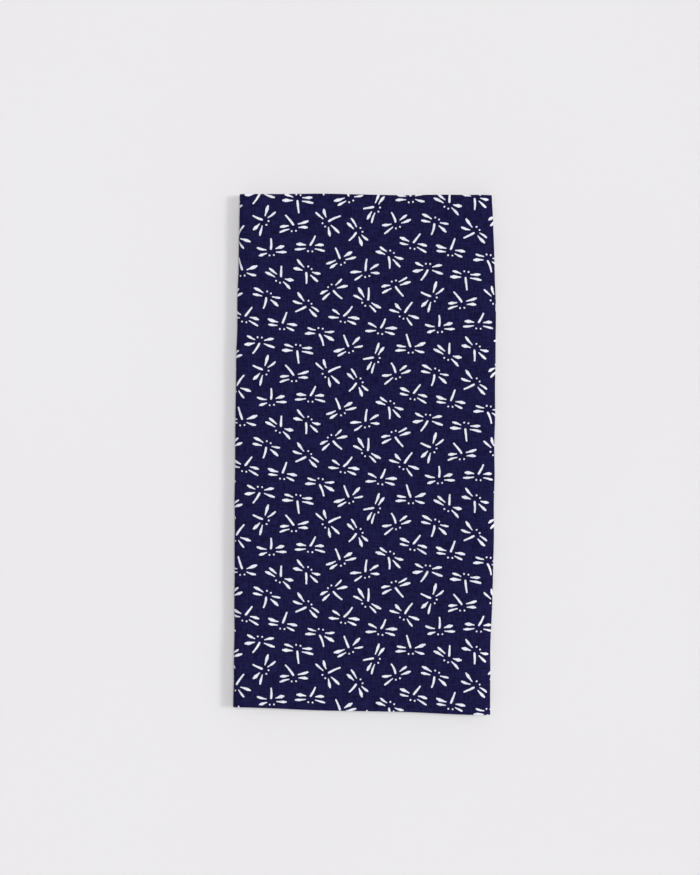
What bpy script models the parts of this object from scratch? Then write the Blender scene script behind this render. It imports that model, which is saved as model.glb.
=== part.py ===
"""Tenugui hand towel, folded flat: one length of thin dyed cotton, doubled and then folded in three.

The cloth is one closed solid. Its section across the folds is a single back-and-forth line of six
panels joined by round folds. The section is drawn at stations along the folds and lofted between
them, so that both sides and both selvages are as uneven as real folded cloth.

Units are metres, +Z is up. +X runs across the folds and +Y along them. The origin is in the middle
of the flat underside.
"""

from collections import namedtuple
import math

import bmesh
import bpy

MM = 0.001

# The cloth and the way its layers lie on each other.
CLOTH_THICKNESS = 1.0 * MM
PANEL_COUNT = 6
PANEL_STEPS = 6
FOLD_STEP_DEG = 20.0
SELVAGE_WAVE_HEIGHT = 0.35 * MM
SELVAGE_WAVE_LENGTH = 95.0 * MM

# The stack's outline and looseness at stations along the folds, from one selvage to the other.
# along: 0 at the lower selvage, 1 at the upper one. left_mm, right_mm: how far each folded side lies
# from the centre line. gap_mm: the air between one layer and the next.
Station = namedtuple("Station", "along left_mm right_mm gap_mm")
STATIONS = (
    Station(0.00, 86.1, 82.5, 0.46),
    Station(0.05, 85.9, 82.2, 0.45),
    Station(0.10, 85.6, 82.3, 0.43),
    Station(0.16, 85.4, 82.7, 0.40),
    Station(0.21, 85.4, 83.4, 0.38),
    Station(0.26, 85.4, 84.1, 0.36),
    Station(0.33, 85.4, 84.7, 0.35),
    Station(0.45, 85.0, 85.1, 0.34),
    Station(0.57, 84.6, 85.5, 0.34),
    Station(0.69, 84.1, 85.8, 0.36),
    Station(0.75, 83.6, 86.0, 0.37),
    Station(0.80, 83.3, 85.9, 0.38),
    Station(0.85, 82.9, 85.2, 0.40),
    Station(0.91, 82.4, 84.8, 0.42),
    Station(0.96, 82.1, 84.1, 0.44),
    Station(1.00, 81.8, 83.2, 0.44),
)

# The lines across the cloth where one panel ends and the next begins, in order along the cloth.
# x_side: -1 for the left side of the stack, +1 for the right. inset_mm: how far the line keeps back
# from the stack's outline. lower_mm, upper_mm: where the two selvages cross the line, along Y.
FoldLine = namedtuple("FoldLine", "name x_side inset_mm lower_mm upper_mm")
FOLD_LINES = (
    FoldLine("lower free end", -1, 3.2, -165.3, 169.0),
    FoldLine("outer right fold", +1, 0.8, -170.0, 168.1),
    FoldLine("inner left fold", -1, 0.0, -165.4, 169.3),
    FoldLine("doubling fold", +1, 0.0, -170.9, 168.9),
    FoldLine("outer left fold", -1, 0.0, -166.1, 170.0),
    FoldLine("inner right fold", +1, 0.8, -169.6, 167.8),
    FoldLine("upper free end", -1, 1.5, -165.6, 169.4),
)
# The height of each panel in the stack, counted in layers from the bottom, in the order of the cloth.
PANEL_LAYERS = (0, 3, 4, 5, 2, 1)

CLOTH_COLOUR = (0.014, 0.012, 0.058, 1.0)
CLOTH_ROUGHNESS = 0.85

# A point of the section: its place across and up, the way the cloth's face looks there, and how many
# panels of cloth lie before it.
SectionPoint = namedtuple("SectionPoint", "x z normal_x normal_z panels")


def clear_scene():
    """Removes every object, so that the file can be run again."""
    for old in list(bpy.data.objects):
        bpy.data.objects.remove(old, do_unlink=True)


def fold_centres(station):
    """Returns the x of each fold line's centre of turning, or of the cut edge at a free end.

    A fold whose two panels lie a pitch apart is a half circle of half that pitch. Folds that lie one
    inside the other share a centre, so the wider of them sets how far in it is.
    """
    pitch = CLOTH_THICKNESS + station.gap_mm * MM
    centres = []
    for index, line in enumerate(FOLD_LINES):
        side = station.right_mm if line.x_side > 0 else station.left_mm
        reach = 0.0
        if 0 < index < PANEL_COUNT:
            reach = CLOTH_THICKNESS / 2 + pitch * turn_layers(index) / 2
        centres.append(line.x_side * ((side - line.inset_mm) * MM - reach))
    return centres


def turn_layers(index):
    """Returns how many layers the widest fold that shares this fold line's centre turns through."""
    own = abs(PANEL_LAYERS[index] - PANEL_LAYERS[index - 1])
    nested = {"inner left fold": "outer left fold", "inner right fold": "outer right fold"}
    outer_name = nested.get(FOLD_LINES[index].name)
    if outer_name is None:
        return own
    outer = next(i for i, line in enumerate(FOLD_LINES) if line.name == outer_name)
    return abs(PANEL_LAYERS[outer] - PANEL_LAYERS[outer - 1])


def section(station):
    """Returns the middle line of the cloth across the folds at one station, as section points."""
    pitch = CLOTH_THICKNESS + station.gap_mm * MM
    centres = fold_centres(station)
    heights = [CLOTH_THICKNESS / 2 + pitch * layer for layer in PANEL_LAYERS]
    points = []
    for panel in range(PANEL_COUNT):
        start, end = centres[panel], centres[panel + 1]
        way = 1 if end > start else -1
        for step in range(PANEL_STEPS + 1):
            part = step / PANEL_STEPS
            across = start + (end - start) * part
            points.append(SectionPoint(across, heights[panel], 0.0, way, panel + part))
        if panel + 1 < PANEL_COUNT:
            points += fold(end, heights[panel], heights[panel + 1], way, panel + 1.0)
    return points


def fold(centre_x, from_z, to_z, way, panels):
    """Returns the points of a half-round fold, without its two ends, which the panels hold.

    The angle runs from straight down or up at one panel to the opposite at the next, bulging to the
    side the cloth was running to. The cloth's face looks the way it did in the panel before.
    """
    radius = abs(to_z - from_z) / 2
    middle_z = (from_z + to_z) / 2
    climb = 1 if to_z > from_z else -1
    steps = round(180.0 / FOLD_STEP_DEG)
    points = []
    for step in range(1, steps):
        angle = math.radians(-90.0 + step * FOLD_STEP_DEG)
        out_x = way * math.cos(angle)
        out_z = climb * math.sin(angle)
        turn = -way * climb
        points.append(
            SectionPoint(
                centre_x + radius * out_x,
                middle_z + radius * out_z,
                turn * out_x,
                turn * out_z,
                panels,
            )
        )
    return points


def selvage_y(along, panels, across):
    """Returns the Y of a point that lies part of the way along from the lower selvage to the upper."""
    before = min(int(panels), PANEL_COUNT - 1)
    part = panels - before
    lines = FOLD_LINES[before], FOLD_LINES[before + 1]
    lower = lines[0].lower_mm + (lines[1].lower_mm - lines[0].lower_mm) * part
    upper = lines[0].upper_mm + (lines[1].upper_mm - lines[0].upper_mm) * part
    wave = SELVAGE_WAVE_HEIGHT * math.sin(2 * math.pi * across / SELVAGE_WAVE_LENGTH)
    return (lower + (upper - lower) * along) * MM + wave * (1.0 - 2.0 * along)


def add_ring(mesh, station):
    """Adds the closed outline of the cloth's section at one station and returns its vertices.

    The first half of the ring follows one face of the cloth and the second half comes back along the
    other, so that the two faces are half the thickness to either side of the middle line.
    """
    points = section(station)
    ring = []
    for face, run in ((+1, points), (-1, reversed(points))):
        offset = face * CLOTH_THICKNESS / 2
        for point in run:
            x = point.x + offset * point.normal_x
            z = point.z + offset * point.normal_z
            y = selvage_y(station.along, point.panels, point.x)
            ring.append(mesh.verts.new((x, y, z)))
    return ring


def close_end(mesh, ring):
    """Closes a cut end of the cloth with a strip of quads between its two faces."""
    half = len(ring) // 2
    for index in range(half - 1):
        mesh.faces.new((ring[index], ring[index + 1], ring[-index - 2], ring[-index - 1]))


def centre_on_base(mesh):
    """Moves the mesh so that the middle of its bounding box's underside is at the origin."""
    for axis, middle in ((0, 0.5), (1, 0.5), (2, 0.0)):
        low = min(vertex.co[axis] for vertex in mesh.verts)
        high = max(vertex.co[axis] for vertex in mesh.verts)
        shift = low + (high - low) * middle
        for vertex in mesh.verts:
            vertex.co[axis] -= shift


def build_cloth():
    """Lofts the folded section from station to station and returns the cloth's mesh."""
    mesh = bmesh.new()
    rings = [add_ring(mesh, station) for station in STATIONS]
    for near, far in zip(rings, rings[1:]):
        for index in range(len(near)):
            following = (index + 1) % len(near)
            mesh.faces.new((near[index], near[following], far[following], far[index]))
    close_end(mesh, rings[0])
    close_end(mesh, rings[-1])
    centre_on_base(mesh)
    bmesh.ops.recalc_face_normals(mesh, faces=mesh.faces)
    data = bpy.data.meshes.new("towel_cloth")
    mesh.to_mesh(data)
    mesh.free()
    return data


def cloth_material():
    """Returns the dyed cotton: dark indigo and matt."""
    material = bpy.data.materials.new("dyed_cotton")
    material.use_nodes = True
    shader = material.node_tree.nodes["Principled BSDF"]
    shader.inputs["Base Color"].default_value = CLOTH_COLOUR
    shader.inputs["Roughness"].default_value = CLOTH_ROUGHNESS
    shader.inputs["Metallic"].default_value = 0.0
    return material


def main():
    clear_scene()
    data = build_cloth()
    data.materials.append(cloth_material())
    cloth = bpy.data.objects.new("towel_cloth", data)
    bpy.context.scene.collection.objects.link(cloth)


main()
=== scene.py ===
"""Looks of a folded tenugui: a thin cotton hand towel, indigo with small white dragonflies.

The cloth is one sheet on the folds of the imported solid. Its shape is worked out as whole numpy arrays
on a grid that runs along the cloth's length and across its width. The print is a repeat of dragonflies
laid out here by a seeded settling, and the shader draws each of them from strokes.

Lengths are metres unless a name ends in _mm. +X runs across the folds, +Y along them, +Z up.
"""

import logging
import math
from dataclasses import dataclass, field, replace
from enum import Enum
from functools import partial

import bpy
import numpy as np
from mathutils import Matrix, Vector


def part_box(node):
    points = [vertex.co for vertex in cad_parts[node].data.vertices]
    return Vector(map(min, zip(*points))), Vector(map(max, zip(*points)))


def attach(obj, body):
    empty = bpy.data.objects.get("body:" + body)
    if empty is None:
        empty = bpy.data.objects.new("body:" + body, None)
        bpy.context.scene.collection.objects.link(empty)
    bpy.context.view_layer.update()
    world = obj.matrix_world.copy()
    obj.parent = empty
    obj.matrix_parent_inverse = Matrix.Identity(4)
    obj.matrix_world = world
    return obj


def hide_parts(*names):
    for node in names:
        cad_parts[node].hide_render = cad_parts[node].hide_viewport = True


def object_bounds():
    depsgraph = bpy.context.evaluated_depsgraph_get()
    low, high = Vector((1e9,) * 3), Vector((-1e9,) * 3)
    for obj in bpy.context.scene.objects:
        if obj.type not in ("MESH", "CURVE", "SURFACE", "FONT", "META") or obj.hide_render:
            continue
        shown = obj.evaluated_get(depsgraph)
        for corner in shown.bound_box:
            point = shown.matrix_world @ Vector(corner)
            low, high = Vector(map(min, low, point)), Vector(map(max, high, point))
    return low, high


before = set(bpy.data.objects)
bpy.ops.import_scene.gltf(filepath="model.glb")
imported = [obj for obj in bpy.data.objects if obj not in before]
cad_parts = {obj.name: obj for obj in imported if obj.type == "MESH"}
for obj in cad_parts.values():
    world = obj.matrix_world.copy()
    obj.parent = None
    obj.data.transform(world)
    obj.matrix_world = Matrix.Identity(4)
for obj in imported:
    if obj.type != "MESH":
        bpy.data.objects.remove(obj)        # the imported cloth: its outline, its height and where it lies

LOG = logging.getLogger("towel")
CAD_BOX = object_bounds()

MM = 0.001
CLOTH_NODE = "towel_cloth"
CLOTH_SLOT = "dyed_cotton"
CLOTH_UV = "cloth"
BAKE_UV = "OFBake"
NEAR_ATTRIBUTE = "dragonfly_near"
FAR_ATTRIBUTE = "dragonfly_far"

Array = np.ndarray


def linear(hex_colour: str) -> tuple[float, float, float, float]:
    """Turns an sRGB hex colour into linear light, with the alpha set to 1.

    Args:
        hex_colour: Six hex digits after a hash sign.

    Returns:
        Linear red, green, blue and alpha.
    """
    parts = [int(hex_colour[i : i + 2], 16) / 255 for i in (1, 3, 5)]
    curve = [p / 12.92 if p <= 0.04045 else ((p + 0.055) / 1.055) ** 2.4 for p in parts]
    return (curve[0], curve[1], curve[2], 1.0)


def fill(node: bpy.types.Node, inputs: dict | tuple | list) -> None:
    """Gives a node's inputs their values, and links those whose value is a socket.

    Args:
        node: The node.
        inputs: The values, in the inputs' order, or in a dict by the inputs' names or numbers.
    """
    for key, value in inputs.items() if isinstance(inputs, dict) else enumerate(inputs):
        if isinstance(value, bpy.types.NodeSocket):
            node.id_data.links.new(value, node.inputs[key])
        else:
            node.inputs[key].default_value = value


def add_node(
    tree: bpy.types.NodeTree, kind: str, inputs: dict | tuple | list = (), **settings: object
) -> bpy.types.bpy_prop_collection:
    """Adds a node, sets its own options and fills its inputs.

    Args:
        tree: The node tree to add to.
        kind: The node's type, such as ShaderNodeMath.
        inputs: What its inputs get, as fill takes it.
        settings: The node's options by name.

    Returns:
        The node's outputs.
    """
    node = tree.nodes.new(kind)
    for name, value in settings.items():
        setattr(node, name, value)
    fill(node, inputs)
    return node.outputs


def new_group(name: str, vectors: tuple[str, ...], numbers: tuple[str, ...], output: str) -> tuple:
    """Starts a node group with one number as its output.

    Args:
        name: The group's name.
        vectors: The names of its vector inputs.
        numbers: The names of its number inputs, which come after those.
        output: The output's name.

    Returns:
        The group's tree, and the sockets that carry its inputs.
    """
    tree = bpy.data.node_groups.new(name, "ShaderNodeTree")
    for kind, names in (("NodeSocketVector", vectors), ("NodeSocketFloat", numbers)):
        for socket_name in names:
            tree.interface.new_socket(socket_name, in_out="INPUT", socket_type=kind)
    tree.interface.new_socket(output, in_out="OUTPUT", socket_type="NodeSocketFloat")
    return tree, add_node(tree, "NodeGroupInput")


def add_object(name: str, data: bpy.types.ID) -> bpy.types.Object:
    """Puts a mesh, a light or the camera into the scene.

    Args:
        name: The object's name.
        data: What it holds.

    Returns:
        The object.
    """
    thing = bpy.data.objects.new(name, data)
    bpy.context.scene.collection.objects.link(thing)
    return thing


@dataclass(frozen=True)
class Ripple:
    """A soft uneven swell: sine waves that cross at seeded angles, with lengths about one size.

    Attributes:
        height: The swell's usual height above and below the middle.
        length: The wave length about which the waves are spread.
        seed: What settles the waves' directions and phases.
        waves: How many waves cross.
    """

    height: float
    length: float
    seed: int
    waves: int = 5

    def at(self, x: Array, y: Array) -> Array:
        """Works out the swell: the waves' sum over the square root of their number.

        Args:
            x: Places across the folds.
            y: Places along the folds.

        Returns:
            The height at each place.
        """
        draw = np.random.default_rng(self.seed)
        total = np.zeros(np.broadcast(x, y).shape)
        for _ in range(self.waves):
            heading = draw.uniform(0.0, math.pi)
            phase = draw.uniform(0.0, 2 * math.pi)
            stride = 2 * math.pi / (self.length * draw.uniform(0.7, 1.5))
            total = total + np.sin(stride * (x * math.cos(heading) + y * math.sin(heading)) + phase)
        return self.height * total / math.sqrt(self.waves)


@dataclass(frozen=True)
class Profile:
    """A line that gives a value at each place.

    Attributes:
        places: Known places, in order.
        values: The value at each.
    """

    places: Array
    values: Array

    @classmethod
    def smoothed(cls, places: Array, values: Array, reach: int = 4) -> "Profile":
        """Makes a profile from rough values by a bell-shaped average over their neighbours.

        Args:
            places: The places, evenly apart.
            values: The rough values. The end ones are held past the ends.
            reach: How many places the bell spreads over to each side.

        Returns:
            The smooth profile.
        """
        bell = np.exp(-((2.0 * np.arange(-reach, reach + 1) / reach) ** 2))
        padded = np.pad(values, reach, mode="edge")
        return cls(places, np.convolve(padded, bell / bell.sum(), mode="valid"))

    def at(self, place: Array) -> Array:
        """Returns the value at each place, straight between the known ones."""
        return np.interp(place, self.places, self.values)


@dataclass(frozen=True)
class StackOutline:
    """The folded stack's outline and height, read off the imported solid.

    Attributes:
        left: The left side's X along the folds.
        right: The right side's X along the folds.
        height: The stack's height along the folds.
        lower: The lower selvages' Y across the folds.
        upper: The upper selvages' Y across the folds.
    """

    CORNER = 6 * MM
    UPPER_END = 1.5 * MM
    CUTS_ALONG = 140
    CUTS_ACROSS = 70

    left: Profile
    right: Profile
    height: Profile
    lower: Profile
    upper: Profile

    @classmethod
    def of_solid(cls, solid: bpy.types.Object) -> "StackOutline":
        """Reads the outline by cutting the solid at even places along and across the folds.

        The cuts keep in from the box's sides, so that each meets both sides or both ends.

        Args:
            solid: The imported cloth.

        Returns:
            The outline, smoothed over the solid's stations.
        """
        low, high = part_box(CLOTH_NODE)
        y = np.linspace(low.y + cls.CORNER, high.y - cls.UPPER_END, cls.CUTS_ALONG)
        x = np.linspace(low.x + cls.CORNER, high.x - cls.CORNER, cls.CUTS_ACROSS)
        least, most = cls.cut(solid.data, 1, y)
        near, far = cls.cut(solid.data, 0, x)
        sides = (Profile.smoothed(y, part) for part in (least[:, 0], most[:, 0], most[:, 2]))
        ends = (Profile.smoothed(x, part) for part in (near[:, 1], far[:, 1]))
        return cls(*sides, *ends)

    @staticmethod
    def cut(mesh: bpy.types.Mesh, axis: int, levels: Array) -> tuple[Array, Array]:
        """Cuts the mesh's edges by planes across one axis.

        A cut point lies at the share of its edge that brings it to the plane.

        Args:
            mesh: The mesh to cut.
            axis: The axis that the planes are square to.
            levels: Where the planes lie on it.

        Returns:
            The lowest and the highest coordinates of the cut points, a row for each plane.
        """
        points = np.empty(len(mesh.vertices) * 3)
        mesh.vertices.foreach_get("co", points)
        pairs = np.empty(len(mesh.edges) * 2, dtype=np.int64)
        mesh.edges.foreach_get("vertices", pairs)
        start, end = points.reshape(-1, 3)[pairs.reshape(-1, 2).T]
        run = end - start
        steep = np.where(np.abs(run[:, axis]) < 1e-9, np.inf, run[:, axis])
        share = (levels[:, None] - start[None, :, axis]) / steep
        met = ((share > 0.0) & (share < 1.0))[..., None]
        spots = start + share[..., None] * run
        return np.where(met, spots, np.inf).min(1), np.where(met, spots, -np.inf).max(1)


class Side(Enum):
    """A folded side of the stack, as the sign of X there."""

    LEFT = -1
    RIGHT = 1


@dataclass(frozen=True)
class FoldLine:
    """A line across the cloth where one panel ends and the next begins, or a cut end.

    Attributes:
        side: The side of the stack that it lies on.
        inset_mm: How far it keeps back from the stack's outline.
        lower_mm: How far the lower selvage keeps inside the outline there.
        upper_mm: The same for the upper selvage.
        climb: How many layers the outermost fold of its nest climbs over, or 0 at a cut end.
    """

    side: Side
    inset_mm: float
    lower_mm: float
    upper_mm: float
    climb: int


# In the order of the cloth's length. Only the top panel, from the doubling fold to the outer left
# fold, reaches the outline, as nothing below it shows from above.
FOLD_LINES = (
    FoldLine(Side.LEFT, 3.2, 0.9, 1.0, 0),  # lower free end
    FoldLine(Side.RIGHT, 0.8, 0.9, 0.8, 3),  # outer right fold
    FoldLine(Side.LEFT, 0.0, 0.8, 0.7, 3),  # inner left fold
    FoldLine(Side.RIGHT, 0.0, 0.0, 0.0, 1),  # doubling fold
    FoldLine(Side.LEFT, 0.0, 0.0, 0.0, 3),  # outer left fold
    FoldLine(Side.RIGHT, 0.8, 1.3, 1.1, 3),  # inner right fold
    FoldLine(Side.LEFT, 1.5, 0.6, 0.6, 0),  # upper free end
)


@dataclass
class SheetGrid:
    """The cloth's middle surface on a grid of rows across its width and columns along its length.

    Attributes:
        points: Each grid point's place.
        length_mm: How far along the flat cloth it lies.
        width_mm: How far across the flat cloth it lies.
        bounds: The first column of each panel and fold in turn, and the last column of all.
    """

    points: Array
    length_mm: Array
    width_mm: Array
    bounds: list[int]

    def normals(self) -> Array:
        """Works out the normals: the cross of the averaged unit steps along and across.

        Returns:
            A unit normal for each grid point.
        """
        ways = []
        for axis in (1, 0):
            steps = np.diff(self.points, axis=axis)
            steps = steps / np.linalg.norm(steps, axis=2, keepdims=True)
            first, last = (np.take(steps, [place], axis=axis) for place in (0, -1))
            ways.append(np.concatenate([first, steps], axis) + np.concatenate([steps, last], axis))
        normal = np.cross(*ways)
        return normal / np.linalg.norm(normal, axis=2, keepdims=True)


@dataclass
class FoldedSheet:
    """The cloth lying in its folds: six panels joined by five round folds, one back-and-forth line.

    A place along the folds is given as a column, one for each grid row.

    Attributes:
        outline: The stack's outline.
        thickness: The visible cloth's own thickness, a little over the real 0.3 mm so that its edge
            shows.
        width_mm: The flat cloth's width between its selvages.
        layers: Each panel's place in the stack, counted from the bottom, in the cloth's order.
        rows: Grid rows across the cloth's width.
        shown_columns: Grid steps along the top and bottom panels.
        hidden_columns: Grid steps along each panel inside the stack.
        fold_steps: Grid steps round a fold: the least, and how many more for each layer it climbs.
        sag: How far the top sinks between its two folded sides.
        shoulders: How far in from its left and its right side the stack starts to round down.
        presses: The share of its height that it loses at its left and its right side.
        press_wander: How that share strays along each side.
        swell: The top's slow swell.
        pressed: Each layer's own finer swell.
        fold_wander: How the folded sides stray.
        fold_hold: The share of that which is left in a fold, where the next layers hold it.
        end_pace: How much quicker a free end strays along its length than a fold.
        edge_wander: How the selvages stray.
        panel_shift: How far along the wander each panel's selvages read it past the last panel's.
    """

    outline: StackOutline
    thickness: float = 0.6 * MM
    width_mm: float = 340.0
    layers: tuple[int, ...] = (0, 3, 4, 5, 2, 1)
    rows: int = 116
    shown_columns: int = 57
    hidden_columns: int = 28
    fold_steps: tuple[int, int] = (5, 4)
    sag: float = 0.7 * MM
    shoulders: tuple[float, float] = (5.0 * MM, 9.5 * MM)
    presses: tuple[float, float] = (0.17, 0.36)
    press_wander: Ripple = Ripple(0.055, 52 * MM, 61)
    swell: Ripple = Ripple(0.16 * MM, 85 * MM, 11)
    pressed: Ripple = Ripple(0.08 * MM, 46 * MM, 23)
    fold_wander: Ripple = Ripple(0.24 * MM, 26 * MM, 31)
    fold_hold: float = 0.6
    end_pace: float = 1.7
    edge_wander: Ripple = Ripple(0.14 * MM, 38 * MM, 47)
    panel_shift: float = 35 * MM

    @property
    def top(self) -> int:
        """The top layer's number."""
        return len(self.layers) - 1

    def share(self) -> Array:
        """Returns each row's share of the way from the lower selvage to the upper, as a column."""
        return np.linspace(0.0, 1.0, self.rows)[:, None]

    def pitch(self, y: Array) -> Array:
        """Returns the height from one layer to the next: the stack's height, shared out evenly."""
        return (self.outline.height.at(y) - self.thickness) / self.top

    def height(self, x: Array, y: Array, layer: int) -> Array:
        """Works out the middle surface's height in one layer.

        The sag is a squared cosine across the stack, and it and the swell grow with the layer, so
        that the lowest one lies flat. Each layer above it has a finer swell of its own.

        Args:
            x: Places across the folds.
            y: Places along the folds.
            layer: The layer, from 0 at the bottom.

        Returns:
            The height at each place.
        """
        half = (self.outline.right.at(y) - self.outline.left.at(y)) / 2
        middle = np.cos(np.clip(x / half, -1.0, 1.0) * math.pi / 2) ** 2
        loose = (self.swell.at(x, y) - self.sag) * middle
        own = replace(self.pressed, seed=self.pressed.seed + layer).at(x, y) * (layer > 0)
        return self.thickness / 2 + layer * (self.pitch(y) + loose / self.top) + own

    def fold_x(self, index: int, y: Array) -> Array:
        """Works out where the panels on both sides of a fold line end and the round fold starts.

        A fold's reach past this is half its own height, and nested folds share one centre.

        Args:
            index: The fold line's place in the table.
            y: Places along the folds.

        Returns:
            The X at each of them.
        """
        line = FOLD_LINES[index]
        edge = self.outline.right if line.side is Side.RIGHT else self.outline.left
        side = np.abs(edge.at(y)) - line.inset_mm * MM
        if line.climb:
            side = side - self.thickness / 2 - self.pitch(y) * line.climb / 2
        else:
            side = side + self.fold_wander.at(y * self.end_pace, y * 0.0 + index)
        return line.side.value * side

    def panel(self, index: int, y: Array) -> tuple[Array, Array, Array]:
        """Works out one panel: straight across from fold to fold at its layer's height.

        Args:
            index: The panel's place along the cloth.
            y: Places along the folds.

        Returns:
            X, Z and the count of panels before each point, on rows by columns.
        """
        columns = self.shown_columns if self.layers[index] in (0, self.top) else self.hidden_columns
        part = np.linspace(0.0, 1.0, columns + 1)
        start, end = self.fold_x(index, y), self.fold_x(index + 1, y)
        x = start + (end - start) * part
        return x, self.height(x, y, self.layers[index]), np.broadcast_to(index + part, x.shape)

    def fold(self, index: int, y: Array, panels: list) -> tuple[Array, Array, Array]:
        """Works out the round fold between two panels: half an ellipse from one's end to the other.

        Across, it reaches half its height past the fold line, a little more here and less there.

        Args:
            index: The fold line's place in the table.
            y: Places along the folds.
            panels: The worked-out panels, in order.

        Returns:
            X, Z and the count of panels before each point, on rows by columns.
        """
        centre = panels[index - 1][0][:, -1:]
        start, end = panels[index - 1][1][:, -1:], panels[index][1][:, :1]
        least, more = self.fold_steps
        steps = least + more * abs(self.layers[index] - self.layers[index - 1])
        angle = np.linspace(-math.pi / 2, math.pi / 2, steps + 1)[None, 1:-1]
        reach = np.abs(end - start) / 2 + self.fold_wander.at(y, y * 0.0 + index) * self.fold_hold
        x = centre + FOLD_LINES[index].side.value * reach * np.cos(angle)
        z = (start + end) / 2 + (end - start) / 2 * np.sin(angle)
        return x, z, np.full(x.shape, float(index))

    def grid(self) -> SheetGrid:
        """Joins the panels and folds in the cloth's order.

        Returns:
            The grid of the middle surface.
        """
        low, high = self.outline.lower.at(0.0), self.outline.upper.at(0.0)
        y = low + (high - low) * self.share()
        panels = [self.panel(index, y) for index in range(len(self.layers))]
        parts = [panels[0]]
        for index in range(1, len(panels)):
            parts += [self.fold(index, y, panels), panels[index]]
        x, z, count = (np.concatenate([part[i] for part in parts], axis=1) for i in range(3))
        z = self.rounded(x, y, z)
        bounds = np.cumsum([0] + [part[0].shape[1] for part in parts]).tolist()
        bounds[-1] -= 1
        points = np.stack([x, self.selvage_y(x, count), z], axis=2)
        length_mm = self.flat_length(points, bounds) / MM
        width_mm = np.broadcast_to(self.share() * self.width_mm, x.shape)
        return SheetGrid(points, length_mm, width_mm, bounds)

    def rounded(self, x: Array, y: Array, z: Array) -> Array:
        """Presses the stack down at its folded sides, so that its upper edges are round.

        The height over the lowest layer shrinks by a share that grows with the square of the way
        into the shoulder, and that is more in some places along the folds and less in others.

        Args:
            x: Places across the folds.
            y: Places along the folds.
            z: The heights before.

        Returns:
            The heights after.
        """
        side = np.where(x > 0, self.outline.right.at(y), -self.outline.left.at(y))
        shoulder, press = (np.where(x > 0, right, left) for left, right in (self.shoulders, self.presses))
        way = np.clip((np.abs(x) - side + shoulder) / shoulder, 0.0, None)
        share = (press + self.press_wander.at(np.sign(x), y)) * way**2
        low = self.thickness / 2
        return low + (z - low) * (1.0 - share)

    def selvage_y(self, x: Array, count: Array) -> Array:
        """Works out each point's Y: its row's share of the way between the two selvages.

        Each selvage follows the stack's outline, inset by amounts that run evenly from fold line to
        fold line, with a wander that is wider below the top panel.

        Args:
            x: Places across the folds.
            count: The count of panels before each point.

        Returns:
            The Y at each point.
        """
        top_middle = self.layers.index(self.top) + 0.5
        loose = 0.5 + np.clip(np.abs(count - top_middle) - 0.5, 0.0, 1.0)
        ends = []
        for edge, inward, shift, insets in (
            (self.outline.lower, 1.0, 0.0, [line.lower_mm for line in FOLD_LINES]),
            (self.outline.upper, -1.0, 1.0, [line.upper_mm for line in FOLD_LINES]),
        ):
            inset = np.interp(count, np.arange(len(insets)), insets) * MM
            wander = self.edge_wander.at(x + shift, count * self.panel_shift)
            ends.append(edge.at(x) + inward * inset + wander * loose)
        return ends[0] + (ends[1] - ends[0]) * self.share()

    @staticmethod
    def flat_length(points: Array, bounds: list[int]) -> Array:
        """Works out how far along the flat cloth each point lies.

        The way along a row is its true length on the two stretches that show, which are the bottom
        panel with its fold and the top panel between its two folds. It is counted there from the
        middle of the panel, so that the print lies square. The hidden stretches between take up what
        is left evenly.

        Args:
            points: The middle surface.
            bounds: The first column of each panel and fold, and the last of all.

        Returns:
            The way along, in metres, for each point.
        """
        steps = np.hypot(*np.moveaxis(np.diff(points[..., [0, 2]], axis=1), 2, 0))
        way = np.concatenate([np.zeros((len(points), 1)), np.cumsum(steps, axis=1)], axis=1)
        flat = np.empty_like(way)
        flat[:, -1] = way[:, -1].mean()
        for first, panel, last in ((0, bounds[0], bounds[2]), (bounds[5] - 1, bounds[6], bounds[8])):
            middle = way[:, panel] + np.abs(points[:, panel, 0])
            shown = slice(first, last + 1)
            flat[:, shown] = (way - middle[:, None] + middle.mean())[:, shown]
        for first, last in ((bounds[2], bounds[5] - 1), (bounds[8], way.shape[1] - 1)):
            share = way[:, first : last + 1] - way[:, first, None]
            share = share / share[:, -1:]
            start, goal = flat[:, first, None].copy(), flat[:, last, None].copy()
            flat[:, first : last + 1] = start + share * (goal - start)
        return flat


@dataclass(frozen=True)
class Stroke:
    """One white stroke of a dragonfly, drawn from the body outwards.

    Attributes:
        root_mm: Where it starts: across the body, and ahead along it.
        angle_deg: Its direction, turned anticlockwise from straight ahead.
        length_mm: Its length between the centres of its two round ends.
        root_radius_mm: Its half width at the start.
        full_radius_mm: Its half width where it is widest.
        tip_radius_mm: Its half width at the end.
        peak: Where it is widest, as a share of its length.
    """

    root_mm: tuple[float, float]
    angle_deg: float
    length_mm: float
    root_radius_mm: float
    full_radius_mm: float
    tip_radius_mm: float
    peak: float


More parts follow.
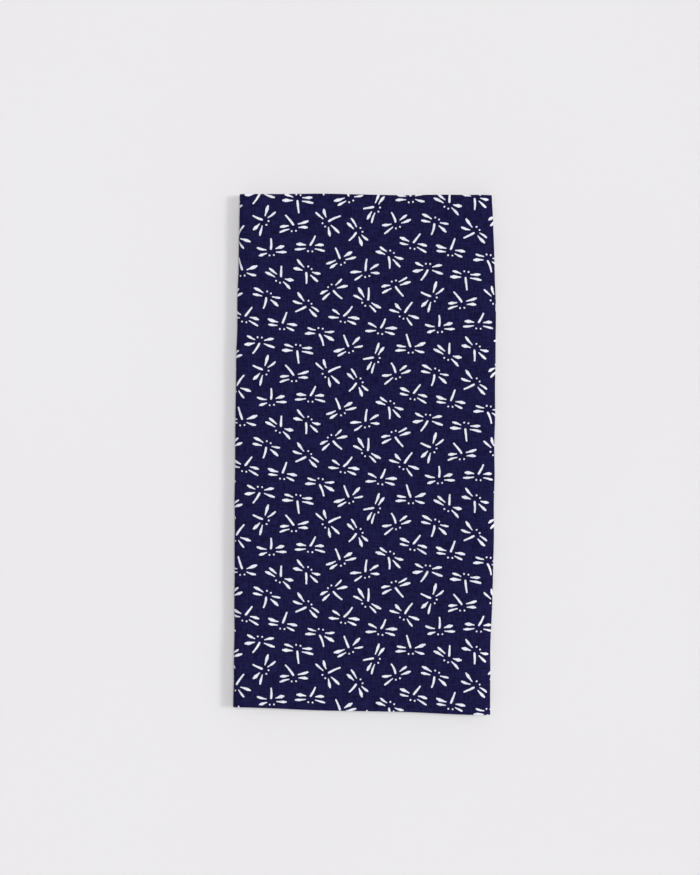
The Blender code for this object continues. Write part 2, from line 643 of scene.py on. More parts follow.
@dataclass(frozen=True)
class Dragonfly:
    """The motif: four wings, a tail and two eyes, each cut a little differently.

    A dragonfly's number settles all its differences: a trait is the fraction of (number + 1) times a
    stride plus an offset, turned to the range from -1 to 1. The print's layout and the shader work
    out the same traits from it. The head leans, the tail slants and each wing turns by up to the
    angle given here to either side. Lengths and widths change by up to the share given here, and a
    stroke bends by up to so much at its middle. Each kind of change has its own stride.
    """

    wings: tuple[Stroke, ...] = (
        Stroke((-3.3, 1.15), 78.0, 5.6, 0.33, 0.81, 0.50, 0.74),  # fore wing, left
        Stroke((-3.3, -1.15), 102.0, 5.8, 0.35, 0.95, 0.58, 0.72),  # hind wing, left
        Stroke((3.3, 1.15), -78.0, 5.6, 0.33, 0.81, 0.50, 0.74),  # fore wing, right
        Stroke((3.3, -1.15), -102.0, 5.8, 0.35, 0.95, 0.58, 0.72),  # hind wing, right
    )
    tail: Stroke = Stroke((0.0, -1.35), 180.0, 7.1, 0.62, 0.70, 0.50, 0.15)
    eyes: tuple[Stroke, ...] = (
        Stroke((-1.42, 2.8), 0.0, 0.1, 0.52, 0.54, 0.52, 0.5),
        Stroke((1.42, 2.8), 0.0, 0.1, 0.52, 0.54, 0.52, 0.5),
    )
    lean_deg: float = 9.0
    slant_deg: float = 38.0
    wing_turn_deg: float = 10.0
    length_change: float = 0.17
    width_change: float = 0.22
    tail_length_change: float = 0.14
    wing_bend_mm: float = 0.24
    tail_bend_mm: float = 0.36
    lean_stride: float = 0.6180
    slant_stride: float = 0.7549
    turn_stride: float = 0.5698
    length_stride: float = 0.8192
    width_stride: float = 0.6710
    wing_offset: float = 0.37

    @property
    def strokes(self) -> tuple[Stroke, ...]:
        """All the strokes."""
        return (*self.wings, self.tail, *self.eyes)

    def changes(self, stroke: Stroke) -> tuple[tuple[float, float, float, float], ...]:
        """Lists how a stroke's angle, length, full half width and bend differ between dragonflies.

        Args:
            stroke: The stroke.

        Returns:
            For each of the four, the trait's stride and offset, the value's middle, and how far the
            trait shifts the value from it.
        """
        angle, length, full = math.radians(stroke.angle_deg), stroke.length_mm, stroke.full_radius_mm
        if stroke in self.eyes:
            return tuple((0.0, 0.0, value, 0.0) for value in (angle, length, full, 0.0))
        if stroke is self.tail:
            return (
                (self.slant_stride, 0.0, angle, math.radians(self.slant_deg)),
                (self.length_stride, 0.2, length, length * self.tail_length_change),
                (0.0, 0.0, full, 0.0),
                (self.turn_stride, 0.6, 0.0, self.tail_bend_mm),
            )
        offset = self.wing_offset * self.wings.index(stroke)
        return (
            (self.turn_stride, offset, angle, math.radians(self.wing_turn_deg)),
            (self.length_stride, offset, length, length * self.length_change),
            (self.width_stride, offset, full, full * self.width_change),
            (self.slant_stride, offset, 0.0, self.wing_bend_mm),
        )

    def marks(self, number: Array) -> Array:
        """Places points along each dragonfly's strokes, which the layout keeps clear of others'.

        Args:
            number: The dragonflies' numbers.

        Returns:
            Points in millimetres, dragonfly by point by axis, with +Y the way the eyes look.
        """
        slant = math.radians(self.slant_deg) * (2.0 * np.mod((number + 1.0) * self.slant_stride, 1.0) - 1.0)
        points = []
        for stroke in self.strokes:
            angle = math.radians(stroke.angle_deg) + slant * (stroke is self.tail)
            for part in (0.5,) if stroke in self.eyes else (0.1, 0.55, 1.0):
                way = part * stroke.length_mm
                across = stroke.root_mm[0] - way * np.sin(angle)
                points.append(np.stack([across, stroke.root_mm[1] + way * np.cos(angle)], axis=1))
        return np.stack(points, axis=1)


@dataclass(frozen=True)
class Settling:
    """How the dragonflies shift and turn into their places, a small step at a time.

    Attributes:
        steps: How many steps it takes.
        room_mm: Centres nearer than this part.
        touch_mm: How fast the push between two strokes dies off.
        reach_mm: Dragonflies whose centres are further apart than this can't touch.
        push: How far a unit of push shifts a dragonfly, and how far it turns one.
        most: The largest shift in millimetres and turn in radians that pushes make in one step.
        part: How far two crowded centres part.
        pull: How strongly each turns back to its first heading.
        shake: The size of the random shifts and turns that fade out half way.
    """

    steps: int = 240
    room_mm: float = 20.0
    touch_mm: float = 1.6
    reach_mm: float = 27.0
    push: tuple[float, float] = (6.0, 0.1)
    most: tuple[float, float] = (1.0, 0.06)
    part: float = 0.5
    pull: float = 0.01
    shake: tuple[float, float] = (0.12, 0.02)


@dataclass
class DragonflyPrint:
    """The repeat: dragonflies spread evenly over a unit that is printed in half drop.

    Attributes:
        motif: The dragonfly.
        repeat_mm: The unit's size along the cloth and across it. The next unit along lies half a
            unit lower.
        columns: Dragonflies along the unit at the start, before they settle.
        rows: Dragonflies across it.
        seed: What settles every random draw.
        scatter_mm: How far the centres are scattered off their even places at the start.
        tilt_deg: How far a dragonfly may lean from straight up or down at the start.
        head_down: The share of dragonflies that start with their heads down.
        sideways: How many of the unit's start nearly on their side.
        sideways_deg: How far those are turned from the others.
        rules: How they settle.
        tried: How many of the nearest dragonflies are tried for each face.
        centres: Where the dragonflies lie, in millimetres.
        headings: Which way they look, in radians.
    """

    motif: Dragonfly = Dragonfly()
    repeat_mm: tuple[float, float] = (110.0, 99.0)
    columns: int = 4
    rows: int = 7
    seed: int = 24
    scatter_mm: float = 4.5
    tilt_deg: float = 50.0
    head_down: float = 0.6
    sideways: int = 2
    sideways_deg: float = 62.0
    rules: Settling = Settling()
    tried: int = 6
    centres: Array = field(init=False)
    headings: Array = field(init=False)

    def __post_init__(self) -> None:
        """Settles the layout."""
        self.centres, self.headings = self.settle()

    @property
    def lattice(self) -> Array:
        """The two steps that carry one unit onto its neighbours, a row each."""
        along, across = self.repeat_mm
        return np.array([[along, across / 2], [0.0, across]])

    @property
    def numbers(self) -> Array:
        """The number of each dragonfly in the unit."""
        return np.arange(self.columns * self.rows, dtype=float)

    def nearest_way(self, gaps: Array) -> Array:
        """Returns each gap with whole units taken off, so that it is the shortest of its repeats."""
        return gaps - np.round(gaps @ np.linalg.inv(self.lattice)) @ self.lattice

    def settle(self) -> tuple[Array, Array]:
        """Lays out one unit.

        The dragonflies start in staggered columns, heads up or down, and lean to either side. Then
        they shift and turn in small steps: each point of a stroke pushes the points of other
        dragonflies away with a force that dies off with the distance, crowded centres part, and a
        weak pull keeps each near its first heading.

        Returns:
            The centres in millimetres and the headings in radians.
        """
        rules = self.rules
        draw = np.random.default_rng(self.seed)
        count = self.columns * self.rows
        column, row = np.divmod(np.arange(count), self.rows)
        start = [(column + 0.5) / self.columns, (row + 0.5 * (column % 2)) / self.rows]
        centre = np.stack(start, axis=1) @ self.lattice
        centre = centre + draw.normal(0.0, self.scatter_mm, (count, 2))
        down = draw.permutation(np.arange(count) < self.head_down * count)
        wish = math.pi * down + np.radians(self.tilt_deg * draw.uniform(-1.0, 1.0, count))
        wish[draw.permutation(count)[: self.sideways]] += math.radians(self.sideways_deg)
        heading = wish.copy()
        marks = self.motif.marks(self.numbers)
        for step in range(rules.steps):
            shake = max(0.0, 1.0 - 2.0 * step / rules.steps)
            arms = self.turned(marks, heading)
            apart = self.nearest_way(centre[:, None] - centre[None])
            way = np.linalg.norm(apart, axis=2) + 1e-6
            crowd = np.where(way > 1e-3, np.maximum(0.0, 1.0 - way / rules.room_mm), 0.0) / way
            one, other = np.nonzero((way > 1e-3) & (way < rules.reach_mm))
            gap = apart[one, other][:, None, None] + arms[one][:, :, None] - arms[other][:, None]
            far = np.linalg.norm(gap, axis=3, keepdims=True) + 1e-6
            force = np.zeros_like(arms)
            np.add.at(force, one, (gap * np.exp(-far / rules.touch_mm) / far).sum(2))
            twist = (arms[..., 0] * force[..., 1] - arms[..., 1] * force[..., 0]).sum(1)
            centre = centre + np.clip(rules.push[0] * force.sum(1), -rules.most[0], rules.most[0])
            centre = centre + rules.part * (apart * crowd[..., None]).sum(1)
            centre = centre + draw.normal(0.0, rules.shake[0] * shake, centre.shape)
            heading = heading + np.clip(rules.push[1] * twist, -rules.most[1], rules.most[1])
            heading = heading + rules.pull * np.sin(wish - heading)
            heading = heading + draw.normal(0.0, rules.shake[1] * shake, count)
        return centre, heading

    @staticmethod
    def turned(points: Array, angle: Array) -> Array:
        """Returns points turned by an angle, anticlockwise, one angle for each first index."""
        x, y, cos, sin = points[..., 0], points[..., 1], np.cos(angle)[:, None], np.sin(angle)[:, None]
        return np.stack([x * cos - y * sin, x * sin + y * cos], axis=2)

    def placed(self, middles: Array, corners: Array) -> list[Array]:
        """Finds the two dragonflies that can reach each face, and its corners in their frames.

        Of the dragonflies with the nearest centres, it takes the two whose strokes come nearest.

        Args:
            middles: The faces' middles on the flat cloth, in millimetres.
            corners: Their corners there, face by corner by axis.

        Returns:
            For the nearest dragonfly and the next one: the corners in its own frame in millimetres,
            and its number in the third place.
        """
        gaps = self.nearest_way(middles[:, None] - self.centres[None])
        order = np.argpartition((gaps**2).sum(2), self.tried, axis=1)[:, : self.tried]
        near = np.take_along_axis(gaps, order[..., None], axis=1)
        local = self.turned(near.reshape(-1, 1, 2), -self.headings[order].ravel())
        marks = self.motif.marks(self.numbers)[order.ravel()]
        reach = ((marks - local) ** 2).sum(2).min(1).reshape(order.shape)
        answers = []
        for rank in np.argsort(reach, axis=1)[:, :2].T:
            pick = order[np.arange(len(order)), rank]
            shift = gaps[np.arange(len(order)), pick]
            points = self.turned(corners - (middles - shift)[:, None], -self.headings[pick])
            number = np.broadcast_to(pick[:, None, None], points.shape[:2] + (1,))
            answers.append(np.concatenate([points, number], axis=2))
        return answers


@dataclass
class TowelMesh:
    """Turns the middle surface into a closed cloth with two faces and thin edges.

    Attributes:
        sheet: The folded sheet.
        pattern: The print.
        hidden_rate: How far the stretches that can't be seen are squeezed on the bake map.
        gap_mm: The room between the parts of that map.
        sharp_deg: Faces that meet at more than this angle meet at a sharp edge.
    """

    sheet: FoldedSheet
    pattern: DragonflyPrint
    hidden_rate: float = 0.012
    gap_mm: float = 2.0
    sharp_deg: float = 50.0

    @staticmethod
    def faces(rows: int, columns: int) -> tuple[Array, Array, Array]:
        """Lists the quads of the outer face, the inner face and the four edges.

        Args:
            rows: Grid rows.
            columns: Grid columns.

        Returns:
            Each quad's corners as grid numbers, whether each corner lies on the inner face, and the
            number of the grid cell that the quad belongs to.
        """
        row, column = (part.ravel() for part in np.mgrid[: rows - 1, : columns - 1])
        # Which cells have the quad, and for each corner its row and column step and its face.
        table = (
            (row >= 0, ((0, 0, 0), (1, 0, 0), (1, 1, 0), (0, 1, 0))),
            (row >= 0, ((0, 0, 1), (0, 1, 1), (1, 1, 1), (1, 0, 1))),
            (row == 0, ((0, 0, 0), (0, 1, 0), (0, 1, 1), (0, 0, 1))),
            (row == rows - 2, ((1, 1, 0), (1, 0, 0), (1, 0, 1), (1, 1, 1))),
            (column == 0, ((1, 0, 0), (0, 0, 0), (0, 0, 1), (1, 0, 1))),
            (column == columns - 2, ((0, 1, 0), (1, 1, 0), (1, 1, 1), (0, 1, 1))),
        )
        place, inner, cell = [], [], []
        for has_quad, corners in table:
            down, along, face = np.array(corners).T
            chosen = np.flatnonzero(has_quad)[:, None]
            place.append((row[chosen] + down) * columns + column[chosen] + along)
            inner.append(np.broadcast_to(face == 1, place[-1].shape))
            cell.append(chosen[:, 0])
        return np.concatenate(place), np.concatenate(inner), np.concatenate(cell)

    def bake_map(self, grid: SheetGrid, place: Array, inner: Array, cell: Array) -> Array:
        """Lays out the map that finished colours are kept on.

        The cloth is laid flat, with the two stretches that show at full size and the rest squeezed
        along the length. The inner face lies beside it, squeezed all over. An edge quad keeps its own
        thin strip beyond the outer face's border.

        Args:
            grid: The middle surface.
            place: Each quad's corners as grid numbers.
            inner: Whether each corner lies on the inner face.
            cell: The grid cell of each quad.

        Returns:
            The map, quad by corner by axis, within 0 to 1.
        """
        columns = grid.length_mm.shape[1]
        steps = np.diff(grid.length_mm.mean(0))
        rate = np.full(columns - 1, self.hidden_rate)
        rate[: grid.bounds[2]] = 1.0
        rate[grid.bounds[5] - 1 : grid.bounds[8]] = 1.0
        outer = np.concatenate([[0.0], np.cumsum(steps * rate)])
        back = np.concatenate([[0.0], np.cumsum(steps * self.hidden_rate)])
        back = outer[-1] + 2 * self.gap_mm + back
        row, column = np.divmod(place, columns)
        edge = (inner.any(axis=1) & ~inner.all(axis=1))[:, None] & inner
        deep = self.sheet.thickness / MM
        u = np.where(inner & ~edge, back[column], outer[column])
        v = grid.width_mm[row, column]
        cell_row, cell_column = np.divmod(cell, columns - 1)
        ends = (row == row[:, :1]).all(axis=1)[:, None]
        v = v + np.where(edge & ends, np.where(cell_row == 0, -deep, deep)[:, None], 0.0)
        u = u + np.where(edge & ~ends, np.where(cell_column == 0, -deep, deep)[:, None], 0.0)
        return (np.stack([u, v], axis=2) + self.gap_mm) / (back[-1] + 2 * self.gap_mm)

    def build(self) -> bpy.types.Mesh:
        """Builds the mesh with its maps and the print's frames.

        Each face of the cloth is the middle surface moved by half the thickness along its normal.

        Returns:
            The finished mesh.
        """
        grid = self.sheet.grid()
        rows, columns = grid.length_mm.shape
        offset = grid.normals() * self.sheet.thickness / 2
        points = np.stack([grid.points - offset, grid.points + offset]).reshape(-1, 3)
        place, inner, cell = self.faces(rows, columns)
        mesh = bpy.data.meshes.new("folded_towel")
        mesh.from_pydata(points.tolist(), [], (place + inner * rows * columns).tolist())
        flat = np.stack([grid.length_mm, grid.width_mm], axis=2).reshape(-1, 2)
        maps = ((CLOTH_UV, flat[place] * MM), (BAKE_UV, self.bake_map(grid, place, inner, cell)))
        for name, values in maps:
            mesh.uv_layers.new(name=name).data.foreach_set("uv", values.astype(np.float32).ravel())
        first = (cell // (columns - 1)) * columns + cell % (columns - 1)
        box = first[:, None] + np.array([0, 1, columns, columns + 1])
        frames = self.pattern.placed(flat[box].mean(1), flat[place])
        for name, values in zip((NEAR_ATTRIBUTE, FAR_ATTRIBUTE), frames):
            layer = mesh.attributes.new(name, "FLOAT_VECTOR", "CORNER")
            layer.data.foreach_set("vector", values.astype(np.float32).ravel())
        mesh.shade_smooth()
        mesh.set_sharp_from_angle(angle=math.radians(self.sharp_deg))
        return mesh


@dataclass(frozen=True)
class DyedCotton:
    """Plain-woven cotton, dyed indigo round motifs that keep the cloth's white.

    The dye is soaked into a matt yarn, so the cloth is dark and dull with a faint sheen of fibre
    ends, its colour is a little streaky along the yarns, and a motif's edge is soft by about half a
    yarn.

    Attributes:
        motif: The dragonfly.
        indigo: The dyed ground.
        indigo_faded: The same where the yarn is thick and took less dye.
        white: The cloth's own white in the motifs.
        white_shaded: The same between yarns.
        fibre_glint: The tint of the sheen that loose fibre ends give at a low angle.
        sheen: That sheen's weight and roughness.
        gloss: How far the yarn's own surface shines.
        roughness: The yarn's roughness where it is thin, and how much more it is where it is thick.
        yarn_mm: The spacing of the yarns. Real tenugui cloth has about 20 a centimetre.
        streak_mm: The length of the thick and thin stretches along a yarn, and their width, which is
            two yarns so that they show.
        streak_range: The sums of two noises between which the streaks run from thin to thick.
        edge_mm: The softness of a motif's edge.
        edge_wobble_mm: How far the hand-cut edge strays.
        edge_grain_mm: The size of those strays along it.
        bump: How strongly the weave shows as bump.
        bump_mm: The weave's height.
        streak_bump: How much higher thick yarn stands, as a share of the weave's height.
    """

    motif: Dragonfly = Dragonfly()
    indigo: str = "#0F0D30"
    indigo_faded: str = "#1C1B45"
    white: str = "#EAEBF5"
    white_shaded: str = "#D8DAE7"
    fibre_glint: str = "#A9A9D6"
    sheen: tuple[float, float] = (0.045, 0.4)
    gloss: float = 0.06
    roughness: tuple[float, float] = (0.82, 0.08)
    yarn_mm: float = 0.5
    streak_mm: tuple[float, float] = (6.0, 1.0)
    streak_range: tuple[float, float] = (0.76, 1.24)
    edge_mm: float = 0.14
    edge_wobble_mm: float = 0.16
    edge_grain_mm: float = 1.3
    bump: float = 0.35
    bump_mm: float = 0.12
    streak_bump: float = 0.8

    @staticmethod
    def trait_group() -> bpy.types.NodeTree:
        """Builds the group that turns a dragonfly's number into one of its values.

        The value is Base plus Range times the trait, with the trait as Dragonfly gives it.

        Returns:
            The group's tree.
        """
        names = ("Number", "Stride", "Offset", "Base", "Range")
        tree, given = new_group("dragonfly_trait", (), names, "Value")
        value = given["Number"]
        for operation, *rest in (
            ("ADD", 1.0),
            ("MULTIPLY_ADD", given["Stride"], given["Offset"]),
            ("FRACT",),
            ("MULTIPLY_ADD", 2.0, -1.0),
            ("MULTIPLY_ADD", given["Range"], given["Base"]),
        ):
            value = add_node(tree, "ShaderNodeMath", (value, *rest), operation=operation)[0]
        add_node(tree, "NodeGroupOutput", (value,))
        return tree

    @staticmethod
    def stroke_group() -> bpy.types.NodeTree:
        """Builds the group that gives the distance to one stroke's edge, negative inside it.

        The point is moved and turned so that the stroke starts at zero and runs along Y. Its share
        of the stroke's length gives the middle line's place, bent to the side most half way, and the
        half width, which swells from the root to the peak and narrows again to the tip.

        Returns:
            The group's tree.
        """
        radii = ("Root Radius", "Full Radius", "Tip Radius")
        names = ("Angle", "Length", *radii, "Peak", "Bend")
        tree, given = new_group("dragonfly_stroke", ("Point", "Root"), names, "Distance")
        node = partial(add_node, tree)
        spin = {"Vector": given["Point"], "Center": given["Root"], "Angle": given["Angle"]}
        turned = node("ShaderNodeVectorRotate", spin, rotation_type="Z_AXIS", invert=True)[0]
        placed = node("ShaderNodeVectorMath", (turned, given["Root"]), operation="SUBTRACT")[0]
        place = node("ShaderNodeSeparateXYZ", (placed,))
        ratio = (place["Y"], given["Length"])
        share = node("ShaderNodeMath", ratio, operation="DIVIDE", use_clamp=True)[0]
        bow = share
        for factor in (node("ShaderNodeMath", (1.0, share), operation="SUBTRACT")[0], 4.0, given["Bend"]):
            bow = node("ShaderNodeMath", (bow, factor), operation="MULTIPLY")[0]
        reached = node("ShaderNodeMath", (share, given["Length"]), operation="MULTIPLY")[0]
        aside = node("ShaderNodeMath", (place["X"], bow), operation="SUBTRACT")[0]
        ahead = node("ShaderNodeMath", (place["Y"], reached), operation="SUBTRACT")[0]
        offset = node("ShaderNodeCombineXYZ", (aside, ahead))[0]
        away = node("ShaderNodeVectorMath", (offset,), operation="LENGTH")["Value"]
        root, full, tip = (given[name] for name in radii)
        widths = [
            node("ShaderNodeMapRange", (share, *span), interpolation_type="SMOOTHSTEP")[0]
            for span in ((0.0, given["Peak"], root, full), (given["Peak"], 1.0, full, tip))
        ]
        radius = node("ShaderNodeMath", widths, operation="MINIMUM")[0]
        distance = node("ShaderNodeMath", (away, radius), operation="SUBTRACT")[0]
        node("NodeGroupOutput", (distance,))
        return tree

    def dragonfly_group(self) -> bpy.types.NodeTree:
        """Builds the group that gives the distance to a whole dragonfly: the least of its strokes'.

        The place's X and Y are millimetres in the dragonfly's own frame, and its Z is the number.
        The eyes lean with the head.

        Returns:
            The group's tree.
        """
        tree, given = new_group("dragonfly", ("Place",), (), "Distance")
        node = partial(add_node, tree)
        parts = node("ShaderNodeSeparateXYZ", (given["Place"],))
        point = node("ShaderNodeCombineXYZ", (parts["X"], parts["Y"]))[0]
        trait_tree, stroke_tree = self.trait_group(), self.stroke_group()
        row = (parts["Z"], self.motif.lean_stride, 0.0, 0.0, math.radians(self.motif.lean_deg))
        lean = node("ShaderNodeGroup", row, node_tree=trait_tree)[0]
        spin = {"Vector": point, "Angle": lean}
        leant = node("ShaderNodeVectorRotate", spin, rotation_type="Z_AXIS", invert=True)[0]
        distances = []
        for stroke in self.motif.strokes:
            angle, length, full, bend = (
                node("ShaderNodeGroup", (parts["Z"], *row), node_tree=trait_tree)[0] if row[3] else row[2]
                for row in self.motif.changes(stroke)
            )
            spot = leant if stroke in self.motif.eyes else point
            shape = (stroke.root_radius_mm, full, stroke.tip_radius_mm, stroke.peak, bend)
            inputs = (spot, (*stroke.root_mm, 0.0), angle, length, *shape)
            distances.append(node("ShaderNodeGroup", inputs, node_tree=stroke_tree)[0])
        least = distances.pop()
        for distance in distances:
            least = node("ShaderNodeMath", (least, distance), operation="MINIMUM")[0]
        node("NodeGroupOutput", (least,))
        return tree

    def material(self) -> bpy.types.Material:
        """Builds the material: print, yarn streaks, weave bump and a matt surface.

        Returns:
            The material.
        """
        material = bpy.data.materials.new(CLOTH_SLOT)
        material.use_nodes = True
        node = partial(add_node, material.node_tree)
        flat = node("ShaderNodeUVMap", uv_map=CLOTH_UV)[0]
        streak, mask, weave = (part(node, flat) for part in (self.streaks, self.mask, self.weave))
        ground, white = (
            node("ShaderNodeMix", {0: streak, 6: linear(thin), 7: linear(thick)}, data_type="RGBA")[2]
            for thin, thick in ((self.indigo, self.indigo_faded), (self.white_shaded, self.white))
        )
        stack = (streak, self.streak_bump, weave)
        height = node("ShaderNodeMath", stack, operation="MULTIPLY_ADD")[0]
        lift = {"Strength": self.bump, "Distance": self.bump_mm * MM, "Height": height}
        thin, more = self.roughness
        surface = {
            "Base Color": node("ShaderNodeMix", {0: mask, 6: ground, 7: white}, data_type="RGBA")[2],
            "Roughness": node("ShaderNodeMath", (streak, more, thin), operation="MULTIPLY_ADD")[0],
            "Normal": node("ShaderNodeBump", lift)[0],
            "Sheen Weight": self.sheen[0],
            "Sheen Roughness": self.sheen[1],
            "Sheen Tint": linear(self.fibre_glint),
            "Specular IOR Level": self.gloss,
        }
        fill(material.node_tree.nodes["Principled BSDF"], surface)
        return material

    def mask(self, node: partial, flat: bpy.types.NodeSocket) -> bpy.types.NodeSocket:
        """Adds the nodes that tell motif from ground.

        The distance to the nearer of the two dragonflies that reach a face strays by fine noise, and
        the edge is a smooth step about where it is zero.

        Args:
            node: What adds a node to the material's tree.
            flat: The place on the flat cloth.

        Returns:
            The socket that is 1 on a motif and 0 on the ground.
        """
        motif_tree = self.dragonfly_group()
        distances = []
        for name in (NEAR_ATTRIBUTE, FAR_ATTRIBUTE):
            place = node("ShaderNodeAttribute", attribute_name=name)["Vector"]
            distances.append(node("ShaderNodeGroup", (place,), node_tree=motif_tree)[0])
        least = node("ShaderNodeMath", distances, operation="MINIMUM")[0]
        grain = {"Vector": flat, "Scale": 1.0 / (self.edge_grain_mm * MM), "Detail": 2.0}
        noise = node("ShaderNodeTexNoise", grain, noise_dimensions="2D")[0]
        wobble = (noise, 2 * self.edge_wobble_mm, least)
        strayed = node("ShaderNodeMath", wobble, operation="MULTIPLY_ADD")[0]
        edge = (strayed, self.edge_wobble_mm + self.edge_mm, self.edge_wobble_mm - self.edge_mm)
        return node("ShaderNodeMapRange", edge, interpolation_type="SMOOTHSTEP")[0]

    def streaks(self, node: partial, flat: bpy.types.NodeSocket) -> bpy.types.NodeSocket:
        """Adds the yarns' thick and thin stretches: two noises drawn out along the yarns and added.

        Args:
            node: What adds a node to the material's tree.
            flat: The place on the flat cloth.

        Returns:
            The socket that runs from 0 where yarns are thin to 1 where they are thick.
        """
        long, wide = (1.0 / (size * MM) for size in self.streak_mm)
        noises = []
        for scale in ((long, wide, 1.0), (wide, long, 1.0)):
            drawn = node("ShaderNodeMapping", {"Vector": flat, "Scale": scale})[0]
            fine = {"Vector": drawn, "Scale": 1.0, "Detail": 2.0}
            noises.append(node("ShaderNodeTexNoise", fine, noise_dimensions="2D")[0])
        total = node("ShaderNodeMath", noises, operation="ADD")[0]
        return node("ShaderNodeMapRange", (total, *self.streak_range))[0]

    def weave(self, node: partial, flat: bpy.types.NodeSocket) -> bpy.types.NodeSocket:
        """Adds the weave: the product of two sines, a crown on every second crossing of the yarns.

        Args:
            node: What adds a node to the material's tree.
            flat: The place on the flat cloth.

        Returns:
            The socket with its height.
        """
        stride = {0: flat, "Scale": math.pi / (self.yarn_mm * MM)}
        scaled = node("ShaderNodeVectorMath", stride, operation="SCALE")[0]
        parts = node("ShaderNodeSeparateXYZ", (scaled,))
        sines = [node("ShaderNodeMath", (parts[axis],), operation="SINE")[0] for axis in ("X", "Y")]
        return node("ShaderNodeMath", sines, operation="MULTIPLY")[0]


@dataclass
class Towel:
    """The towel: one piece of cloth in its folds.

    Attributes:
        flat: The cloth's size before it was folded, width by length. Not used.
        finish: The cotton.
    """

    flat: tuple[float, float] = (0.34, 1.0)
    finish: DyedCotton = DyedCotton()

    def build(self) -> bpy.types.Object:
        """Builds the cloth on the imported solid's folds and puts it in that solid's place.

        Returns:
            The cloth.
        """
        outline = StackOutline.of_solid(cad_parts[CLOTH_NODE])
        pattern = DragonflyPrint(motif=self.finish.motif)
        piece = add_object("folded_towel", TowelMesh(FoldedSheet(outline), pattern).build())
        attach(piece, "root")
        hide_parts(CLOTH_NODE)
        return piece

    def dress(self, piece: bpy.types.Object) -> None:
        """Gives the cloth its finish."""
        piece.data.materials.append(self.finish.material())


@dataclass(frozen=True)
class FloorPaint:
    """Matt pale paint on a studio floor: near white, with a faint mottle from the roller.

    Attributes:
        pale: Its colour.
        shaded: The same in the mottle.
        mottle: How many of the mottle's patches there are in a metre.
        roughness: Its roughness.
        gloss: How far it shines.
    """

    pale: str = "#E2E1E2"
    shaded: str = "#E0DEE0"
    mottle: float = 4.0
    roughness: float = 0.9
    gloss: float = 0.2

    def material(self) -> bpy.types.Material:
        """Builds the paint on Object coordinates.

        Returns:
            The material.
        """
        material = bpy.data.materials.new("matt_studio_paint")
        material.use_nodes = True
        node = partial(add_node, material.node_tree)
        place = node("ShaderNodeTexCoord")["Object"]
        patches = node("ShaderNodeTexNoise", {"Vector": place, "Scale": self.mottle, "Detail": 1.0})[0]
        shades = {0: patches, 6: linear(self.shaded), 7: linear(self.pale)}
        surface = {
            "Base Color": node("ShaderNodeMix", shades, data_type="RGBA")[2],
            "Roughness": self.roughness,
            "Specular IOR Level": self.gloss,
        }
        fill(material.node_tree.nodes["Principled BSDF"], surface)
        return material


@dataclass(frozen=True)
class SoftLight:
    """A wide soft light so far off that the whole floor is lit alike.

    Attributes:
        name: What the light is.
        height_deg: How high it stands over the floor.
        from_deg: The side it comes from, turned anticlockwise from +X.
        width_deg: How wide it looks, which makes its shadows soft.
        strength: What it gives a surface that faces it, in watts per square metre.
    """

    name: str
    height_deg: float
    from_deg: float
    width_deg: float
    strength: float

    def build(self) -> None:
        """Adds the light and turns it to shine from its side."""
        lamp = bpy.data.lights.new(self.name, "SUN")
        lamp.angle = math.radians(self.width_deg)
        lamp.energy = self.strength
        turn = (0.0, math.radians(90.0 - self.height_deg), math.radians(self.from_deg))
        add_object(self.name, lamp).rotation_euler = turn


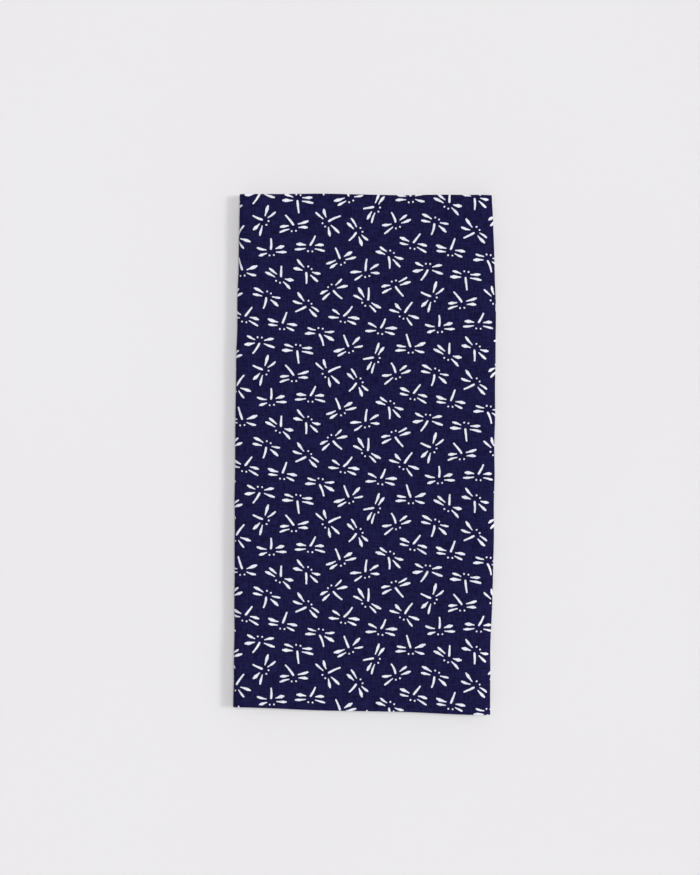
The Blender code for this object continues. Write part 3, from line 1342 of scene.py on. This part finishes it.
@dataclass
class Studio:
    """The floor, the soft lights and the camera straight above.

    Attributes:
        lights: Most of the light from overhead, and some low from the right.
        sky_colour: The colour of the even light from all round.
        sky: Its strength from above.
        horizon: Its strength low down, as bright as the lit floor, so that the two meet unseen.
        horizon_end: The heights, as sines, between which the low light eases into the upper one.
        towel_share: The towel's length as a share of the picture's height.
        towel_right: How far right of the picture's middle the towel lies, as a share of its height.
        towel_down: How far below the middle.
        lens: The focal length in millimetres.
        sensor: The sensor's long side in millimetres.
        floor_half: Half the floor's width.
        floor_drop: How far the floor lies under the cloth, so that they don't coincide.
    """

    lights: tuple[SoftLight, ...] = (
        SoftLight("overhead_light", 84.0, 59.0, 24.0, 1.68),
        SoftLight("side_light", 35.5, 4.0, 12.0, 1.00),
        SoftLight("wide_side_light", 35.0, 10.0, 37.0, 0.46),
    )
    sky_colour: str = "#FCFBFD"
    sky: float = 0.27
    horizon: float = 0.85
    horizon_end: tuple[float, float] = (0.12, 0.45)
    towel_share: float = 0.59657
    towel_right: float = 0.0167
    towel_down: float = 0.0194
    lens: float = 85.0
    sensor: float = 36.0
    floor_half: float = 6.0
    floor_drop: float = 0.05 * MM

    def build(self) -> None:
        """Builds the floor, the lights, the sky and the camera."""
        self.add_floor()
        for light in self.lights:
            light.build()
        self.add_sky()
        self.add_camera()

    def add_floor(self) -> None:
        """Lays the floor just under the cloth."""
        half, z = self.floor_half, -self.floor_drop
        corners = [(-half, -half, z), (half, -half, z), (half, half, z), (-half, half, z)]
        mesh = bpy.data.meshes.new("studio_floor")
        mesh.from_pydata(corners, [], [(0, 1, 2, 3)])
        mesh.materials.append(FloorPaint().material())
        add_object("studio_floor", mesh)

    def add_sky(self) -> None:
        """Fills the rest from a pale sky, brighter towards the horizon."""
        world = bpy.data.worlds.new("pale_sky")
        world.use_nodes = True
        node = partial(add_node, world.node_tree)
        way = node("ShaderNodeTexCoord")["Generated"]
        height = node("ShaderNodeSeparateXYZ", (way,))["Z"]
        ease = (height, *self.horizon_end, self.horizon, self.sky)
        strength = node("ShaderNodeMapRange", ease, interpolation_type="SMOOTHSTEP")[0]
        backdrop = {"Color": linear(self.sky_colour), "Strength": strength}
        fill(world.node_tree.nodes["Background"], backdrop)
        bpy.context.scene.world = world

    def add_camera(self) -> None:
        """Hangs the camera straight above, at the height from which the towel fills its share."""
        low, high = CAD_BOX
        picture_height = (high.y - low.y) / self.towel_share
        camera = bpy.data.cameras.new("camera")
        camera.lens = self.lens
        camera.sensor_width = self.sensor
        holder = add_object("camera", camera)
        holder.location = (
            (low.x + high.x) / 2 - self.towel_right * picture_height,
            (low.y + high.y) / 2 + self.towel_down * picture_height,
            high.z + picture_height * self.lens / self.sensor,
        )
        bpy.context.scene.camera = holder
        bpy.context.scene.view_settings.view_transform = "Standard"


def main() -> None:
    """Builds the towel and the studio in order."""
    logging.basicConfig(level=logging.INFO, format="%(name)s: %(message)s")
    towel = Towel()
    piece = towel.build()
    LOG.info("built %s with %d faces", piece.name, len(piece.data.polygons))
    towel.dress(piece)
    LOG.info("dressed %s", piece.name)
    Studio().build()
    LOG.info("set up the studio")


if __name__ == "__main__":
    main()
